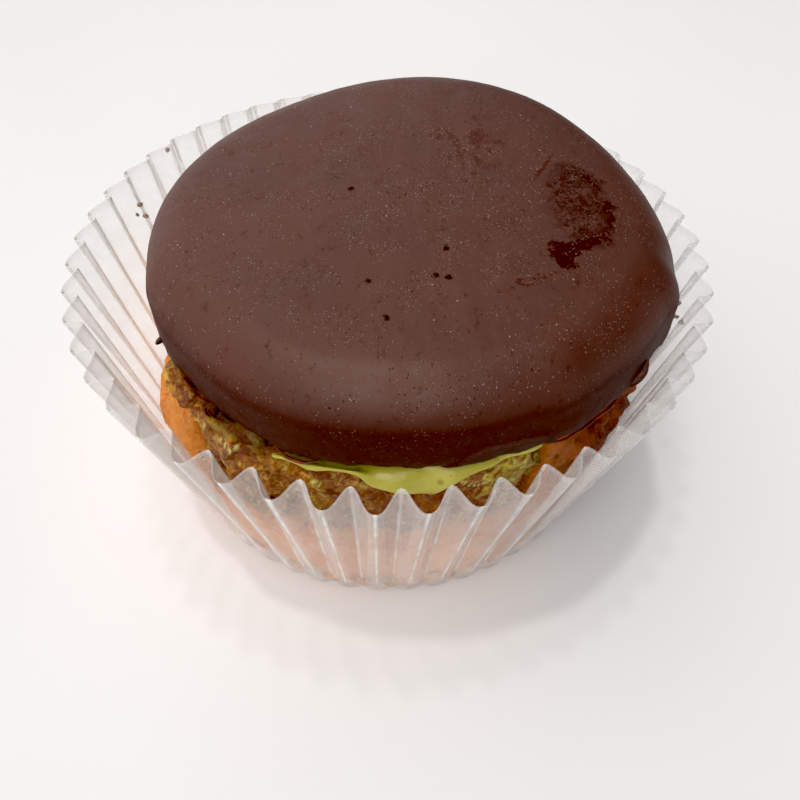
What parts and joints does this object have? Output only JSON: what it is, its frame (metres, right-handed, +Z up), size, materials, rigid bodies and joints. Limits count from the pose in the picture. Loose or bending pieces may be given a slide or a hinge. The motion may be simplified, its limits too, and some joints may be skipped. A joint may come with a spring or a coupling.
{
  "type": "filled cookie with a chocolate lid in a pleated cup",
  "caption": "Round cookie filled with shredded pastry and green nut cream, with a thick chocolate-coated biscuit on top, in a clear pleated cup.",
  "frame": {"origin": "on the surface it stands on, under the middle of the cup's rim", "axes": "+Z up; -Y towards the open front, where the filling and the cream show; +X to the right seen from there"},
  "size_m": [0.0822, 0.0812, 0.0427],
  "materials": {
    "clear_film": "thin clear film, slightly milky, glossy",
    "baked_cookie": "golden brown baked crumb, matt",
    "shredded_pastry": "toasted pastry shreds and chopped nuts, oily matt",
    "nut_cream": "smooth pale green cream, satin",
    "dark_chocolate": "dark chocolate coat, satin, finely speckled"
  },
  "bodies": {
    "root": {"clear_cup": "clear_film", "base_cookie": "baked_cookie", "pastry_filling": "shredded_pastry", "pistachio_cream": "nut_cream", "chocolate_lid": "dark_chocolate"}
  },
  "joints": []
}
